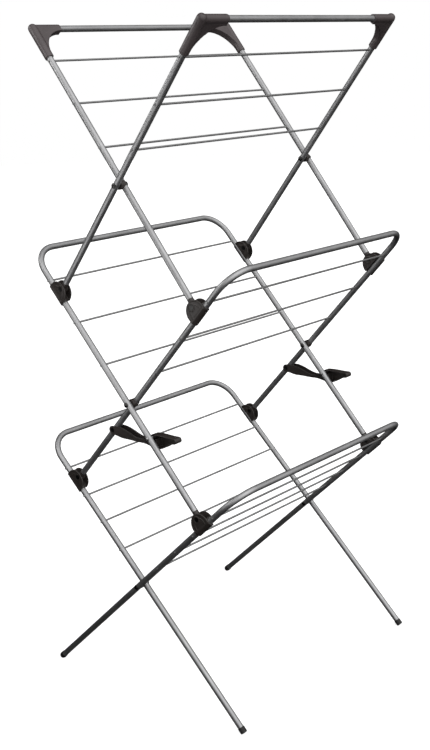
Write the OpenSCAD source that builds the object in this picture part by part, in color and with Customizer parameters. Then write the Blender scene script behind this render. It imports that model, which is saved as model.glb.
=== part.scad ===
// Three-tier concertina clothes airer. Six frames cross in pairs and are hinged end to end, so the
// whole rack folds flat as one linkage. X runs along the rails and wires, +Y is the back and +Z is
// up. The origin is on the floor, under the middle of the rack.

/* [Frames] */
// Width between the leg centre lines of one frame
frame_w = 587; // [480:1:700]
// Sideways stagger between the two chains of frames
stagger = 20; // [20:0.5:24]
// Slope of the middle frames when the rack is open, in degrees
middle_slope = 47.75; // [44:0.25:50]
// Link from the bottom crossing to a lower hinge, and on to the middle crossing
lower_link = 273; // [268:1:285]
// Link from the middle crossing to an upper hinge, and on to the top crossing
upper_link = 279; // [274:1:290]
// Rise of a hinge axis above the centre line of the tube that carries it
pivot_rise = 18.5; // [18.5:0.5:20]
// Length of a bottom leg from the bottom crossing to the floor
foot_reach = 375; // [330:1:400]
// Length from a crossing to the top bar of a bottom frame
bottom_bar_reach = 390; // [385:1:410]
// Length from a crossing to the top bar of a middle frame
middle_bar_reach = 392; // [390:1:410]
// Length from a crossing to the top rail of a top frame
top_bar_reach = 373; // [373:1:390]

/* [Tubes and wires] */
// Outside diameter of the steel tube
tube_d = 13; // [12:0.5:13]
// Wall thickness of the steel tube
tube_wall = 1; // [0.8:0.1:1.5]
// Centre line radius of the bends in the middle and bottom frames
bend_r = 55; // [40:1:60]
// Diameter of the hanging wires
wire_d = 4.2; // [3:0.1:4.6]

/* [Mouldings] */
// Radius of the round hinge cheeks
cheek_r = 24; // [22:0.5:24]
// Overall width of a hinge bracket
bracket_w = 19; // [18.5:0.1:19]
// Outside radius of the leg sleeve of a corner connector
sleeve_r = 9.3; // [8.5:0.1:10]
// Length of a corner connector's rail sleeve from the leg centre line
rail_sleeve = 67; // [60:1:80]

/* [Hidden] */
$fn = 64;
BOTTOM = 0;
MIDDLE = 1;
TOP = 2;
BACK = 1;
FRONT = -1;
ENDS = [-1, 1];
SIDES = [BACK, FRONT];
TIER_NAMES = ["bottom", "middle", "top"];

fit = 0.05;                      // radial clearance of a pin in its bore
gap = 0.2;                       // clearance between faces that turn past each other
tube_r = tube_d / 2;
wire_r = wire_d / 2;
wire_proud = 2;                  // length of wire that shows outside a leg

// Wire positions along the leg, measured up from the crossing
WIRES = [[308, 233, 163, 89], [313, 205, 98], [295, 192, 87]];

// Slopes and crossing heights: the hinge offset adds the same step to the slope at each tier
bottom_slope = middle_slope - asin(pivot_rise / lower_link);
top_slope = middle_slope + asin(pivot_rise / upper_link);
SLOPE = [bottom_slope, middle_slope, top_slope];
bottom_cross_z = foot_reach * sin(bottom_slope);
middle_cross_z = bottom_cross_z + 2 * lower_link * sin(middle_slope);
top_cross_z = middle_cross_z + 2 * upper_link * sin(top_slope);
CROSS_Z = [bottom_cross_z, middle_cross_z, top_cross_z];
BAR_REACH = [bottom_bar_reach, middle_bar_reach, top_bar_reach];

// Distance along a carrying tube to the foot of its hinge, and the link that is hinged there
HINGE_U = [sqrt(pow(lower_link, 2) - pow(pivot_rise, 2)), sqrt(pow(upper_link, 2) - pow(pivot_rise, 2))];
LINK = [foot_reach, lower_link, upper_link];

// Hinge bracket
barrel_r = tube_r + 2.7;
barrel_len = 2 * cheek_r;
cheek_out = bracket_w / 2;
cheek_in = tube_r + 0.5;
cheek_rise = pivot_rise - 12.5;  // centre of the cheek's disc above the tube's centre line
cheek_floor = -2.5;              // straight lower edge of the outer cheek
clip_mouth = 1.5;                // the clip is open from here to the rack's inner side,
clip_top = 5.5;                  // and below this height
saddle_half = cheek_r - 3;       // floor between the cheeks, over the tube
cheek_rim = 2.6;
cheek_edge = 0.8;
cheek_pocket = 0.8;
cheek_ring_r = 13.5;             // raised ring inside the rim
cheek_ring = 1.2;
boss_r = 8;
pin_r = 2.5;
pin_head_r = 5;
pin_head_t = 0.85;
pin_recess_r = pin_head_r + 0.6;
pin_recess = pin_head_t + 0.05;

// Plug in the lower end of a leg
eye_r = 8.5;
eye_w = tube_d + 0.2;
plug_spigot = 46;
tube_setback = 17;               // from the pivot to the end of the tube
plug_neck = tube_setback - 0.1;
spigot_r = tube_r - tube_wall - fit;

// Feet
foot_r = tube_r + 0.9;
foot_len = 13;
foot_floor = 4.5;                // thickness of rubber under the tube end
foot_round = 2.5;
foot_end = foot_reach - 3.5;     // end face of the cap, along the leg
foot_tube_end = foot_end - foot_floor - 2.5;

// Corner connectors
leg_sleeve = 71;
ear_rise = 1.5;                  // centre of the domed ear above the rail centre line
ear_step = 15;                   // angle between the stations of the dome's profile
ear_hole_r = 2;
ear_hole_low = 6;
rail_sleeve_r = sleeve_r - 0.7;
web_t = 15;
web_r = 62;
rail_setback = 10.5;

// Crossings
rivet_r = 2.5;
rivet_head_r = 5.5;
rivet_head_t = 2.4;
rivet_head_skirt = 0.3;          // straight edge under the domed head
dome_steps = 5;
rivet_half = stagger / 2 + tube_r + 0.1;
washer_r = 6;
hub_r = 8.8;
hub_face = stagger - tube_r - 0.3;

// Lock arms, drawn along +Y from the pivot, with +Z up
lock_pivot_u = 94.5;              // pivot on the front-leaning middle frame, below the crossing
stud_u = 82.5;                   // catch stud on the other middle frame, below the crossing
stud_r = 2.6;
stud_head_r = 4.6;
stud_head_t = 1.8;
stud_tip = stagger - 3;
arm_half = 9.2;
arm_inner = tube_r + 0.6;
arm_wall = 2;
arm_back = 6.6;                  // face of the handle's dish
arm_heel_r = 9.2;
arm_tip_r = 6;
arm_tip_s = 175;
arm_tip_h = -3.4;
arm_flange_start = 4;
dish_start = 108;
fork_end = 104;
catch_rib = 2.5;
catch_gap = 5;                   // from the stud's axis to a catch rib
catch_clear = stud_r + 1;
ARM_TOP = [[0, arm_heel_r], [18, 9.2], [88, -9.6], [119, 5.1], [130, 5.1], [arm_tip_s, arm_tip_h + arm_tip_r]];
ARM_LOW = [[0, -arm_heel_r], [34, -14.6], [86, -17], [131, -24.5], [arm_tip_s, arm_tip_h - arm_tip_r]];
arm_step = 4;

function chain_x(tier, side) = side * (tier == MIDDLE ? -1 : 1) * stagger / 2;
function leg_x(tier, side, end) = chain_x(tier, side) + end * frame_w / 2;
function side_name(side) = side == BACK ? "back" : "front";
function end_name(end) = end < 0 ? "left" : "right";
function frame_name(tier, side) = str(TIER_NAMES[tier], "_", side_name(side));

// Names of the repeated parts
function wire_name(tier, side, i) = str(frame_name(tier, side), "_wire_", i + 1);
function bracket_name(tier, side, end) = str(frame_name(tier, side), "_bracket_", end_name(end));
function foot_name(side, end) = str(side_name(-side), "_foot_", end_name(end));  // opposite its bar
function leg_name(side, end) = str("top_", side_name(side), "_leg_", end_name(end));
function corner_name(side, end) = str("top_", side_name(side), "_corner_", end_name(end));
function rail_name(side) = str("top_", side_name(side), "_rail");
function plugs_name(tier, side) = str(frame_name(tier, side), "_leg_plugs");
function pins_name(tier, side) = str(frame_name(tier, side), "_hinge_pins");

// Puts a frame drawn flat (legs along Y, crossing at the origin) in its place in the rack
module placed(tier, side) {
    translate([chain_x(tier, side), 0, CROSS_Z[tier]])
        mirror([0, side == FRONT ? 1 : 0, 0])
            rotate([SLOPE[tier], 0, 0])
                children();
}

module at_leg(end) {
    translate([end * frame_w / 2, 0, 0]) children();
}

// Cylinder along Y from y = low to y = high
module rod_y(r, low, high) {
    translate([0, low, 0])
        rotate([-90, 0, 0])
            cylinder(r = r, h = high - low);
}

// Cylinder along X from x = low to x = high, at height u along the leg
module rod_x(r, low, high, u = 0) {
    translate([low, u, 0])
        rotate([0, 90, 0])
            cylinder(r = r, h = high - low);
}

// The same, at height v above the leg
module rod_x_at(r, low, high, v) {
    translate([0, 0, v]) rod_x(r, low, high);
}

// One hole through both legs of a frame
module leg_hole(r, u) {
    reach = frame_w / 2 + tube_d;
    rod_x(r, -reach, reach, u);
}

module wire_holes(tier) {
    for (u = WIRES[tier])
        leg_hole(wire_r + fit, u);
}

// A rivet through both tubes at a crossing, drawn at the middle of the stagger
module cross_rivet() {
    rod_x(rivet_r, -rivet_half, rivet_half);
    for (end = ENDS)
        mirror([end < 0 ? 1 : 0, 0, 0])
            translate([rivet_half, 0, 0])
                domed_head(rivet_head_r, rivet_head_t);
}

// A domed head standing on x = 0, with a short straight skirt
module domed_head(r, t) {
    rise = t - rivet_head_skirt;
    dome_r = (r * r + rise * rise) / (2 * rise);
    edge = asin(r / dome_r);
    rotate([0, 90, 0])
        rotate_extrude()
            polygon(concat(
                [[0, 0], [r, 0]],
                [for (a = [edge : -edge / dome_steps : 0.001])
                    [dome_r * sin(a), t - dome_r + dome_r * cos(a)]],
                [[0, t]]));
}

// ---- Bent tube frames ----

module bent_bar(r, low, reach) {
    straight = frame_w / 2 - bend_r;
    for (end = ENDS) {
        at_leg(end) rod_y(r, low, reach - bend_r);
        translate([end * straight, reach - bend_r, 0])
            rotate([0, 0, end < 0 ? 90 : 0])
                rotate_extrude(angle = 90)
                    translate([bend_r, 0])
                        circle(r = r);
    }
    rod_x(r, -straight, straight, reach);
}

// extra_holes lists [position along the leg, radius] of further holes through both legs
module bent_frame(tier, side, low, extra_holes) {
    placed(tier, side)
        difference() {
            bent_bar(tube_r, low, BAR_REACH[tier]);
            bent_bar(tube_r - tube_wall, low - 1, BAR_REACH[tier]);
            wire_holes(tier);
            leg_hole(rivet_r + 2 * fit, 0);
            for (hole = extra_holes)
                leg_hole(hole[1], hole[0]);
        }
}

module bottom_frame(side) {
    color("silver")
        bent_frame(BOTTOM, side, -foot_tube_end, []);
}

module middle_frame(side) {
    holes = side == BACK ? [[-stud_u, stud_r + fit]] : [[-lock_pivot_u, pin_r + fit]];
    color("silver")
        bent_frame(MIDDLE, side, tube_setback - lower_link, holes);
}

// ---- Top frames ----

module top_leg(side, end) {
    color("silver")
        placed(TOP, side)
            difference() {
                at_leg(end) rod_y(tube_r, tube_setback - upper_link, top_bar_reach + 2);
                at_leg(end) rod_y(tube_r - tube_wall, tube_setback - upper_link - 1, top_bar_reach + 3);
                wire_holes(TOP);
                leg_hole(rivet_r + 2 * fit, 0);
            }
}

module top_rail(side) {
    half = frame_w / 2 - rail_setback;
    color("silver")
        placed(TOP, side)
            difference() {
                rod_x(tube_r, -half, half, top_bar_reach);
                rod_x(tube_r - tube_wall, -half - 1, half + 1, top_bar_reach);
            }
}

// Sleeves for leg and rail, joined by a web with a wide concave edge
module top_corner(side, end) {
    color("#3f3838")
        placed(TOP, side)
            at_leg(end)
                translate([0, top_bar_reach, 0])
                    mirror([end > 0 ? 1 : 0, 0, 0])
                        corner_shape();
}

module corner_shape() {
    difference() {
        union() {
            domed_sleeve();
            rod_x(rail_sleeve_r, 0, rail_sleeve);
            corner_web();
        }
        rod_y(tube_r + fit, -leg_sleeve - 1, 3);
        rod_y(ear_hole_r, ear_hole_low, ear_rise + sleeve_r + 1);
        rod_x(tube_r + fit, rail_setback - 0.5, rail_sleeve + 1);
    }
}

// Leg sleeve with a domed upper end
module domed_sleeve() {
    rotate([-90, 0, 0])
        rotate_extrude()
            polygon(concat(
                [[0, -leg_sleeve], [sleeve_r, -leg_sleeve]],
                [for (a = [0 : ear_step : 89])
                    [sleeve_r * cos(a), ear_rise + sleeve_r * sin(a)]],
                [[0, ear_rise + sleeve_r]]));
}

module corner_web() {
    translate([0, 0, -web_t / 2])
        linear_extrude(web_t)
            difference() {
                translate([0, -leg_sleeve]) square([rail_sleeve, leg_sleeve]);
                translate([rail_sleeve, -leg_sleeve]) circle(r = web_r, $fn = 128);
            }
}

// ---- Wires ----

module wire(tier, side, i) {
    half = frame_w / 2 + tube_r + wire_proud;
    color("gray")
        placed(tier, side)
            rod_x(wire_r, -half, half, WIRES[tier][i]);
}

// ---- Hinges ----

module hinge_bracket(tier, side, end) {
    color("#332d2c")
        placed(tier, side)
            at_leg(end)
                translate([0, HINGE_U[tier], 0])
                    mirror([end > 0 ? 1 : 0, 0, 0])
                        bracket_shape();
}

// A clip round the outer half of a tube, drawn for a left leg, whose inner side is towards +X
module bracket_shape() {
    half = barrel_len / 2;
    clear = 2 * barrel_len;
    difference() {
        union() {
            rod_y(barrel_r, -half, half);
            translate([-cheek_in - 0.5, -saddle_half, 0]) cube([2 * cheek_in + 1, 2 * saddle_half, barrel_r]);
            for (end = ENDS)
                mirror([end < 0 ? 1 : 0, 0, 0])
                    cheek();
        }
        rod_y(tube_r + fit, -half - 1, half + 1);
        translate([clip_mouth, -clear / 2, clip_top - clear]) cube([clear, clear, clear]);
        translate([0, 0, pivot_rise]) {
            rod_x(pin_r + fit, -bracket_w, bracket_w);
            for (end = ENDS)
                mirror([end < 0 ? 1 : 0, 0, 0])
                    rod_x(pin_recess_r, cheek_out - pin_recess, bracket_w);
        }
    }
}

// One cheek: a disc with a straight lower edge, a raised rim and ring, and a boss round the pin
module cheek() {
    thick = cheek_out - cheek_in;
    ring = thick - cheek_pocket;
    difference() {
        cheek_disc(cheek_r, cheek_floor, thick, cheek_edge);
        difference() {
            translate([ring, 0, 0]) cheek_disc(cheek_r - cheek_rim, cheek_floor + cheek_rim, thick, 0);
            difference() {
                cheek_disc(cheek_ring_r + cheek_ring, cheek_floor, 2 * thick, 0);
                cheek_disc(cheek_ring_r, cheek_floor - 1, 3 * thick, 0);
            }
            rod_x_at(boss_r, cheek_in, cheek_out + 1, pivot_rise);
        }
    }
}

// Disc on the cheek's centre, cut straight below the height low, with a chamfered outer edge
module cheek_disc(r, low, thick, edge) {
    intersection() {
        translate([cheek_in, 0, cheek_rise])
            rotate([0, 90, 0])
                rotate_extrude()
                    polygon([[0, 0], [r, 0], [r, thick - edge], [r - edge, thick], [0, thick]]);
        translate([cheek_in - 1, -2 * r, low]) cube([3 * thick + 2, 4 * r, 4 * r]);
    }
}

// Pin with two flush heads, centred on a hinge axis
module hinge_pin() {
    head = cheek_out - pin_recess + fit / 2;
    rod_x(pin_r, -head, head);
    for (end = ENDS)
        mirror([end < 0 ? 1 : 0, 0, 0])
            rod_x(pin_head_r, head, head + pin_head_t - fit);
}

// The pins, rivets and studs that a bent frame carries
module frame_pins(tier, side) {
    color("silver")
        placed(tier, side)
            for (end = ENDS)
                at_leg(end) {
                    translate([0, HINGE_U[tier], pivot_rise]) hinge_pin();
                    if (tier == MIDDLE && side == BACK)
                        translate([0, -stud_u, 0]) catch_stud();
                    if (tier == MIDDLE && side == FRONT) {
                        translate([0, -lock_pivot_u, 0]) hinge_pin();
                        translate([-stagger / 2, 0, 0]) cross_rivet();
                    }
                }
}

module leg_plugs(tier, side) {
    color("#2b2625")
        placed(tier, side)
            for (end = ENDS)
                at_leg(end)
                    translate([0, -LINK[tier], 0])
                        plug_shape();
}

module plug_shape() {
    difference() {
        union() {
            rod_x(eye_r, -eye_w / 2, eye_w / 2);
            rod_y(tube_r, 0, plug_neck);
            rod_y(spigot_r, 0, plug_spigot);
        }
        rod_x(pin_r + fit, -bracket_w, bracket_w);
    }
}

// ---- Feet ----

module foot(side, end) {
    color("#1d1b1b")
        difference() {
            placed(BOTTOM, side)
                at_leg(end)
                    difference() {
                        translate([0, -foot_end, 0])
                            rotate([-90, 0, 0])
                                rotate_extrude()
                                    polygon(concat(
                                        [[0, 0]],
                                        [for (a = [-90 : 15 : 0])
                                            [foot_r - foot_round + foot_round * cos(a),
                                             foot_round + foot_round * sin(a)]],
                                        [[foot_r, foot_len], [0, foot_len]]));
                        rod_y(tube_r + fit, -foot_tube_end - fit, -foot_end + foot_len + 1);
                    }
            translate([-frame_w, -frame_w, -20]) cube([2 * frame_w, 2 * frame_w, 20]);
        }
}

// ---- Crossings ----

// Rivets of the bottom crossing, each with a washer between the two tubes
module bottom_cross_rivets() {
    washer = stagger / 2 - tube_r - gap;
    color("silver")
        for (end = ENDS)
            translate([end * frame_w / 2, 0, bottom_cross_z]) {
                cross_rivet();
                rod_x(washer_r, -washer, washer);
            }
}

module top_cross_rivets() {
    color("silver")
        placed(TOP, BACK)
            for (end = ENDS)
                at_leg(end)
                    translate([-stagger / 2, 0, 0])
                        cross_rivet();
}

// Round hubs that sit half round one tube and fill the space to the tube that crosses it
module cross_spacers(tier, side) {
    color("#2b2625")
        placed(tier, side)
            for (end = ENDS)
                at_leg(end)
                    difference() {
                        rod_x(hub_r, -hub_face, 0);
                        rod_y(tube_r + fit, -2 * hub_r, 2 * hub_r);
                        rod_x(rivet_r + fit, -stagger, stagger);
                    }
}

// ---- Lock arms ----

// Studs with a head outside the tube and a tip that reaches into the lock arm
module catch_stud() {
    rod_x(stud_r, -tube_r - 0.1, stud_tip);
    translate([-tube_r - 0.1, 0, 0])
        mirror([1, 0, 0])
            domed_head(stud_head_r, stud_head_t);
}

// Smooth edge height at distance s: eases from each station to the next
function eased(stations, s, i = 0) =
    s >= stations[i + 1][0] && i + 2 < len(stations) ? eased(stations, s, i + 1) :
    let (a = stations[i], b = stations[i + 1], t = min(1, max(0, (s - a[0]) / (b[0] - a[0]))))
    a[1] + (b[1] - a[1]) * (1 - cos(180 * t)) / 2;

// Outline of the arm from s = start to the tip, moved in by inset
module arm_outline(start, inset, ends_with_heel) {
    heel = arm_heel_r - inset;
    tip = arm_tip_r - inset;
    stations = [for (s = [start : arm_step : arm_tip_s - arm_step / 2]) s];
    back = [for (i = [len(stations) - 1 : -1 : 0]) stations[i]];
    polygon(concat(
        [for (s = stations) [s, eased(ARM_TOP, s) - inset]],
        [for (a = [90 : -15 : -90]) [arm_tip_s + tip * cos(a), arm_tip_h + tip * sin(a)]],
        [for (s = back) [s, eased(ARM_LOW, s) + inset]],
        ends_with_heel ? [for (a = [255 : -15 : 105]) [heel * cos(a), heel * sin(a)]] : []));
}

// Extrudes a side view of the arm across X
module across(low, high) {
    translate([low, 0, 0])
        rotate([90, 0, 90])
            linear_extrude(high - low)
                children();
}

module arm_shape(stud_s) {
    difference() {
        across(-arm_half, arm_half) arm_outline(0, 0, true);
        across(-arm_inner, arm_inner) fork_space();
        across(-arm_half - 1, arm_back)
            difference() {
                arm_outline(dish_start, arm_wall, false);
                catch_ribs(stud_s);
            }
        rod_x(pin_r + fit, -bracket_w, bracket_w);
        for (end = ENDS)
            mirror([end < 0 ? 1 : 0, 0, 0])
                rod_x(pin_recess_r, cheek_out - pin_recess, bracket_w);
    }
}

// Space between the fork's two plates, open above, where the middle frame's tube lies
module fork_space() {
    stations = [for (s = [arm_flange_start : arm_step : fork_end]) s];
    tall = 4 * arm_heel_r;
    polygon(concat(
        [[-tall, tall], [-tall, -tall], [arm_flange_start, -tall]],
        [for (s = stations) [s, eased(ARM_LOW, s) + arm_wall]],
        [[fork_end, tall]]));
}

// Ribs above and below the stud's seat
module catch_ribs(stud_s) {
    tall = 4 * arm_heel_r;
    for (s = [stud_s - catch_gap - catch_rib, stud_s + catch_gap]) {
        translate([s, catch_clear]) square([catch_rib, tall]);
        translate([s, -catch_clear - tall]) square([catch_rib, tall]);
    }
}

module lock_arm(end) {
    slope = SLOPE[MIDDLE];
    pivot = [lock_pivot_u * cos(slope), middle_cross_z - lock_pivot_u * sin(slope)];
    stud = [-stud_u * cos(slope), middle_cross_z - stud_u * sin(slope)];
    along = stud - pivot;
    color("#332d2c")
        translate([leg_x(MIDDLE, FRONT, end), pivot[0], pivot[1]])
            mirror([0, 1, 0])
                rotate([atan2(along[1], -along[0]), 0, 0])
                    arm_shape(norm(along));
}

// ---- Nodes ----

for (side = SIDES) {
    bottom_frame(side);
    middle_frame(side);
    top_rail(side);
    for (end = ENDS) {
        top_leg(side, end);
        top_corner(side, end);
        foot(side, end);
    }
    for (tier = [BOTTOM, MIDDLE, TOP])
        for (i = [0 : len(WIRES[tier]) - 1])
            wire(tier, side, i);
    for (tier = [BOTTOM, MIDDLE]) {
        frame_pins(tier, side);
        for (end = ENDS)
            hinge_bracket(tier, side, end);
    }
    for (tier = [MIDDLE, TOP])
        leg_plugs(tier, side);
}
bottom_cross_rivets();
top_cross_rivets();
cross_spacers(MIDDLE, FRONT);  // middle_cross_spacers
cross_spacers(TOP, BACK);  // top_cross_spacers
lock_arm(-1);  // lock_arm_left
lock_arm(1);  // lock_arm_right
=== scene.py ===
"""Looks of a three-tier concertina clothes airer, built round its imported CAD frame."""
import math

import bpy
from mathutils import Matrix, Vector

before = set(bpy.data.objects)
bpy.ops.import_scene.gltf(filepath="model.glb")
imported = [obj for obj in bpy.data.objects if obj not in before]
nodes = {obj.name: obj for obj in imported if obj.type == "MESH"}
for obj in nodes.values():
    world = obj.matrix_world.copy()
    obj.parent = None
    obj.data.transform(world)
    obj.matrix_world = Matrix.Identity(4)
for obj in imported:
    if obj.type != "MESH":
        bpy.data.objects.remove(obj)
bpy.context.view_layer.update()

MM = 0.001
WHITE = (1, 1, 1, 1)

# ---- Camera: angles in degrees, place and reach in metres, lens in millimetres ----

CAMERA_PLACE = Vector((-1.832, -1.599, 1.339))
CAMERA_AZIMUTH = -48.08
CAMERA_ELEVATION = 16.92
CAMERA_ROLL = -1.95
CAMERA_LENS = 54.87
CAMERA_SHIFT = (0.0044, 0.033)
CAMERA_REACH = 50


def make_camera():
    data = bpy.data.cameras.new("camera")
    data.lens = CAMERA_LENS
    data.shift_x, data.shift_y = CAMERA_SHIFT
    data.clip_end = CAMERA_REACH
    azimuth = math.radians(CAMERA_AZIMUTH)
    elevation = math.radians(CAMERA_ELEVATION)
    roll = math.radians(CAMERA_ROLL)
    back = Vector((
        math.sin(azimuth) * math.cos(elevation),
        -math.cos(azimuth) * math.cos(elevation),
        math.sin(elevation),
    ))
    level = Vector((0, 0, 1)).cross(back).normalized()
    upright = back.cross(level)
    right = math.cos(roll) * level + math.sin(roll) * upright
    up = math.cos(roll) * upright - math.sin(roll) * level
    camera = bpy.data.objects.new("camera", data)
    camera.matrix_world = Matrix((right, up, back)).transposed().to_4x4()
    camera.location = CAMERA_PLACE
    bpy.context.scene.collection.objects.link(camera)
    bpy.context.scene.camera = camera


make_camera()

# ---- Materials: noise scales are per metre ----

# Most of a noise texture's values lie in this range
NOISE_RANGE = (0.3, 0.7)

# The Mix node has one set of sockets for each kind of value
MIX_NUMBER_INPUTS = (2, 3)
MIX_NUMBER_RESULT = 0
MIX_COLOUR_INPUTS = (6, 7)
MIX_COLOUR_RESULT = 2


class Nodes:
    """Short calls for a material's node tree."""

    def __init__(self, name):
        self.material = bpy.data.materials.new(name)
        self.material.use_nodes = True
        self.tree = self.material.node_tree
        self.shader = self.tree.nodes["Principled BSDF"]
        self.place = self.tree.nodes.new("ShaderNodeTexCoord").outputs["Object"]

    def fill(self, socket, value):
        """Links another socket to this one, or sets a plain value."""
        if isinstance(value, bpy.types.NodeSocket):
            self.tree.links.new(value, socket)
        else:
            socket.default_value = value

    def add(self, kind, inputs):
        made = self.tree.nodes.new(kind)
        for key, value in inputs.items():
            self.fill(made.inputs[key], value)
        return made

    def set(self, **values):
        """Fills the shader's sockets, whose names have spaces in place of underscores."""
        for key, value in values.items():
            self.fill(self.shader.inputs[key.replace("_", " ")], value)

    def noise(self, scale, detail):
        inputs = {"Vector": self.place, "Scale": scale, "Detail": detail}
        return self.add("ShaderNodeTexNoise", inputs).outputs["Fac"]

    def share(self, noise):
        """Runs from 0 to 1 as the noise crosses NOISE_RANGE."""
        low, high = NOISE_RANGE
        inputs = {"Value": noise, "From Min": low, "From Max": high}
        return self.add("ShaderNodeMapRange", inputs).outputs["Result"]

    def number(self, noise, low, high):
        """A number that wanders from low to high with the noise."""
        mix = self.add("ShaderNodeMix", {"Factor": self.share(noise)})
        mix.data_type = "FLOAT"
        for key, value in zip(MIX_NUMBER_INPUTS, (low, high)):
            mix.inputs[key].default_value = value
        return mix.outputs[MIX_NUMBER_RESULT]

    def colour(self, noise, dark, light):
        """A colour that wanders from dark to light with the noise."""
        mix = self.add("ShaderNodeMix", {"Factor": self.share(noise)})
        mix.data_type = "RGBA"
        for key, value in zip(MIX_COLOUR_INPUTS, (dark, light)):
            mix.inputs[key].default_value = (*value, 1)
        return mix.outputs[MIX_COLOUR_RESULT]

    def bump(self, height, strength, distance):
        inputs = {"Height": height, "Strength": strength, "Distance": distance}
        self.set(Normal=self.add("ShaderNodeBump", inputs).outputs["Normal"])


def paint(name, dark, light, rough):
    """Metallic paint: fine flake, a little orange peel and slow changes of tone."""
    m = Nodes(name)
    m.set(
        Base_Color=m.colour(m.noise(scale=14, detail=4), dark, light),
        Roughness=m.number(m.noise(scale=60, detail=3), rough - 0.05, rough + 0.07),
        Metallic=0.88,
    )
    m.bump(m.noise(scale=400, detail=1), strength=0.015, distance=0.1 * MM)
    return m.material


def moulding(name, dark, light, rough, grain):
    """Moulded plastic with a fine spark-eroded grain."""
    m = Nodes(name)
    m.set(
        Base_Color=m.colour(m.noise(scale=25, detail=5), dark, light),
        Roughness=m.number(m.noise(scale=180, detail=3), rough - 0.06, rough + 0.08),
    )
    m.bump(m.noise(scale=1400, detail=2), strength=grain, distance=0.04 * MM)
    return m.material


def plated_steel(name, dark, light):
    """Steel with a thin, slightly uneven plating."""
    m = Nodes(name)
    m.set(
        Base_Color=m.colour(m.noise(scale=120, detail=4), dark, light),
        Roughness=m.number(m.noise(scale=300, detail=3), low=0.28, high=0.45),
        Metallic=1.0,
    )
    m.bump(m.noise(scale=700, detail=2), strength=0.1, distance=0.1 * MM)
    return m.material


def glowing(name, scale, detail, dark, light, rough, glow):
    """A matt surface that gives off its own white light."""
    m = Nodes(name)
    m.set(
        Base_Color=m.colour(m.noise(scale, detail), dark, light),
        Roughness=rough,
        Specular_IOR_Level=0,
        Emission_Color=WHITE,
        Emission_Strength=glow,
    )
    return m.material


TUBE_PAINT = paint(
    "tube_paint", dark=(0.4, 0.4, 0.405), light=(0.48, 0.48, 0.485), rough=0.45
)
WIRE_PAINT = paint(
    "wire_paint", dark=(0.33, 0.33, 0.33), light=(0.39, 0.39, 0.39), rough=0.45
)
CORNER_PLASTIC = moulding(
    "corner_plastic", dark=(0.08, 0.066, 0.067), light=(0.104, 0.086, 0.088), rough=0.36, grain=0.15
)
HINGE_PLASTIC = moulding(
    "hinge_plastic", dark=(0.03, 0.025, 0.023), light=(0.044, 0.037, 0.034), rough=0.4, grain=0.25
)
RUBBER = moulding(
    "foot_rubber", dark=(0.012, 0.011, 0.011), light=(0.022, 0.021, 0.021), rough=0.62, grain=0.35
)
ZINC = plated_steel("zinc", dark=(0.38, 0.38, 0.39), light=(0.62, 0.61, 0.6))
PIN_STEEL = plated_steel("pin_steel", dark=(0.05, 0.05, 0.05), light=(0.09, 0.088, 0.085))


def material_of(name):
    if "foot" in name:
        return RUBBER
    if "wire" in name:
        return WIRE_PAINT
    if "rivet" in name or "pins" in name:
        return PIN_STEEL
    if "corner" in name:
        return CORNER_PLASTIC
    if any(word in name for word in ("bracket", "arm", "plugs", "spacers")):
        return HINGE_PLASTIC
    return TUBE_PAINT


for name, node in nodes.items():
    node.data.materials.clear()
    node.data.materials.append(material_of(name))

# The catch studs share a node with the hinge pins, and are brighter than the pins.
# The studs are below the middle crossing, and the pins above it.

MIDDLE_CROSSING_HEIGHT = 664 * MM

studs_and_pins = nodes["middle_back_hinge_pins"]
studs_and_pins.data.materials.append(ZINC)
for face in studs_and_pins.data.polygons:
    if (studs_and_pins.matrix_world @ face.center).z < MIDDLE_CROSSING_HEIGHT:
        face.material_index = 1

# ---- Moulded shapes ----

CORNER_VOXEL = 0.9 * MM
CORNER_PASSES = 14
HINGE_VOXEL = 0.55 * MM
HINGE_PASSES = 3
PASS_STRENGTH = 0.5


def soften(node, voxel, passes):
    """Rounds a moulding's edges and blends its inner corners, as a moulding tool does."""
    remesh = node.modifiers.new("remesh", "REMESH")
    remesh.mode = "VOXEL"
    remesh.voxel_size = voxel
    remesh.use_smooth_shade = True
    smooth = node.modifiers.new("soften", "SMOOTH")
    smooth.factor = PASS_STRENGTH
    smooth.iterations = passes


for name, node in nodes.items():
    if "corner" in name:
        soften(node, CORNER_VOXEL, CORNER_PASSES)
    elif "bracket" in name or "lock_arm" in name:
        soften(node, HINGE_VOXEL, HINGE_PASSES)

# ---- Stage: places and sizes in metres, power in watts ----

FLOOR_RADIUS = 14
FLOOR_SIDES = 96
FLOOR_GLOW = 0.75

BACKDROP_RADIUS = 13
BACKDROP_SEGMENTS = 48
BACKDROP_RINGS = 24
BACKDROP_GLOW = 1.0

# The sky brightens as the cosine of the angle to SKY_AXIS crosses SKY_REACH
SKY_AXIS = Vector((-0.12, -0.7, 0.7))
SKY_REACH = (0.12, 1.0)
SKY_STRENGTH = (0.0, 1.42)


def make_floor():
    """A pale floor that the rack neither reflects nor takes light from."""
    bpy.ops.mesh.primitive_circle_add(vertices=FLOOR_SIDES, radius=FLOOR_RADIUS, fill_type="NGON")
    floor = bpy.context.object
    floor.name = "floor"
    floor.data.materials.append(glowing(
        "floor",
        scale=0.7,
        detail=2,
        dark=(0.88, 0.88, 0.88),
        light=(0.9, 0.9, 0.9),
        rough=0.9,
        glow=FLOOR_GLOW,
    ))
    floor.visible_glossy = False
    floor.visible_diffuse = False


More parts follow.
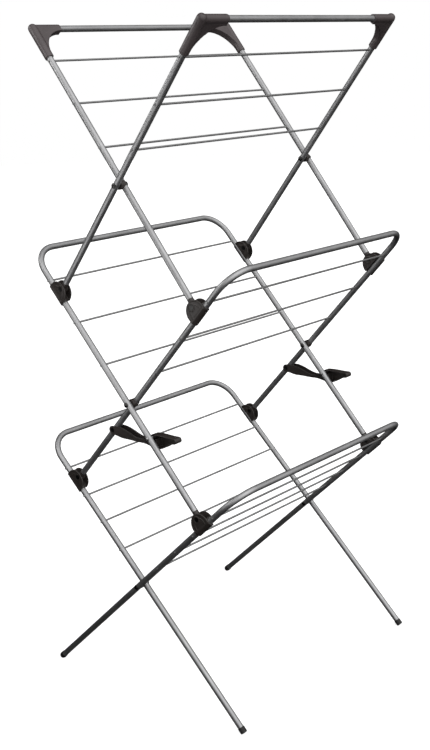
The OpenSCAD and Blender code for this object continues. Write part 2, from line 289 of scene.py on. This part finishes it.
def make_backdrop():
    """A white dome that only the camera sees."""
    bpy.ops.mesh.primitive_uv_sphere_add(
        segments=BACKDROP_SEGMENTS, ring_count=BACKDROP_RINGS, radius=BACKDROP_RADIUS
    )
    dome = bpy.context.object
    dome.name = "backdrop"
    dome.data.materials.append(glowing(
        "backdrop",
        scale=0.3,
        detail=1,
        dark=(0, 0, 0),
        light=(0.01, 0.01, 0.01),
        rough=1.0,
        glow=BACKDROP_GLOW,
    ))
    for ray in ("diffuse", "glossy", "transmission", "volume_scatter", "shadow"):
        setattr(dome, f"visible_{ray}", False)


def make_world():
    """A soft sky that is brightest towards SKY_AXIS and dark away from it."""
    world = bpy.data.worlds.new("studio")
    world.use_nodes = True
    tree = world.node_tree
    background = tree.nodes["Background"]
    background.inputs["Color"].default_value = WHITE
    direction = tree.nodes.new("ShaderNodeTexCoord").outputs["Generated"]
    towards = tree.nodes.new("ShaderNodeVectorMath")
    towards.operation = "DOT_PRODUCT"
    towards.inputs[1].default_value = SKY_AXIS.normalized()
    tree.links.new(direction, towards.inputs[0])
    strength = tree.nodes.new("ShaderNodeMapRange")
    strength.interpolation_type = "SMOOTHSTEP"
    strength.inputs["From Min"].default_value = SKY_REACH[0]
    strength.inputs["From Max"].default_value = SKY_REACH[1]
    strength.inputs["To Min"].default_value = SKY_STRENGTH[0]
    strength.inputs["To Max"].default_value = SKY_STRENGTH[1]
    tree.links.new(towards.outputs["Value"], strength.inputs["Value"])
    tree.links.new(strength.outputs["Result"], background.inputs["Strength"])
    bpy.context.scene.world = world
    bpy.context.scene.view_settings.view_transform = "Standard"


def soft_light(name, place, target, side, power):
    """A square panel that lights the rack without showing in the picture."""
    data = bpy.data.lights.new(name, "AREA")
    data.shape = "SQUARE"
    data.size = side
    data.energy = power
    light = bpy.data.objects.new(name, data)
    light.location = place
    light.visible_camera = False
    light.rotation_euler = (Vector(target) - Vector(place)).to_track_quat("-Z", "Y").to_euler()
    bpy.context.scene.collection.objects.link(light)


make_floor()
make_backdrop()
make_world()
soft_light("key", place=(-0.5, -2.2, 3.3), target=(0, 0, 0.6), side=2.4, power=5)
soft_light("back_left", place=(-1.2, 1.0, 2.0), target=(-0.5, 0.2, 2.5), side=1.2, power=14)
soft_light("left", place=(-0.95, 0.16, 0.85), target=(-0.3, -0.12, 1.35), side=0.7, power=1.8)
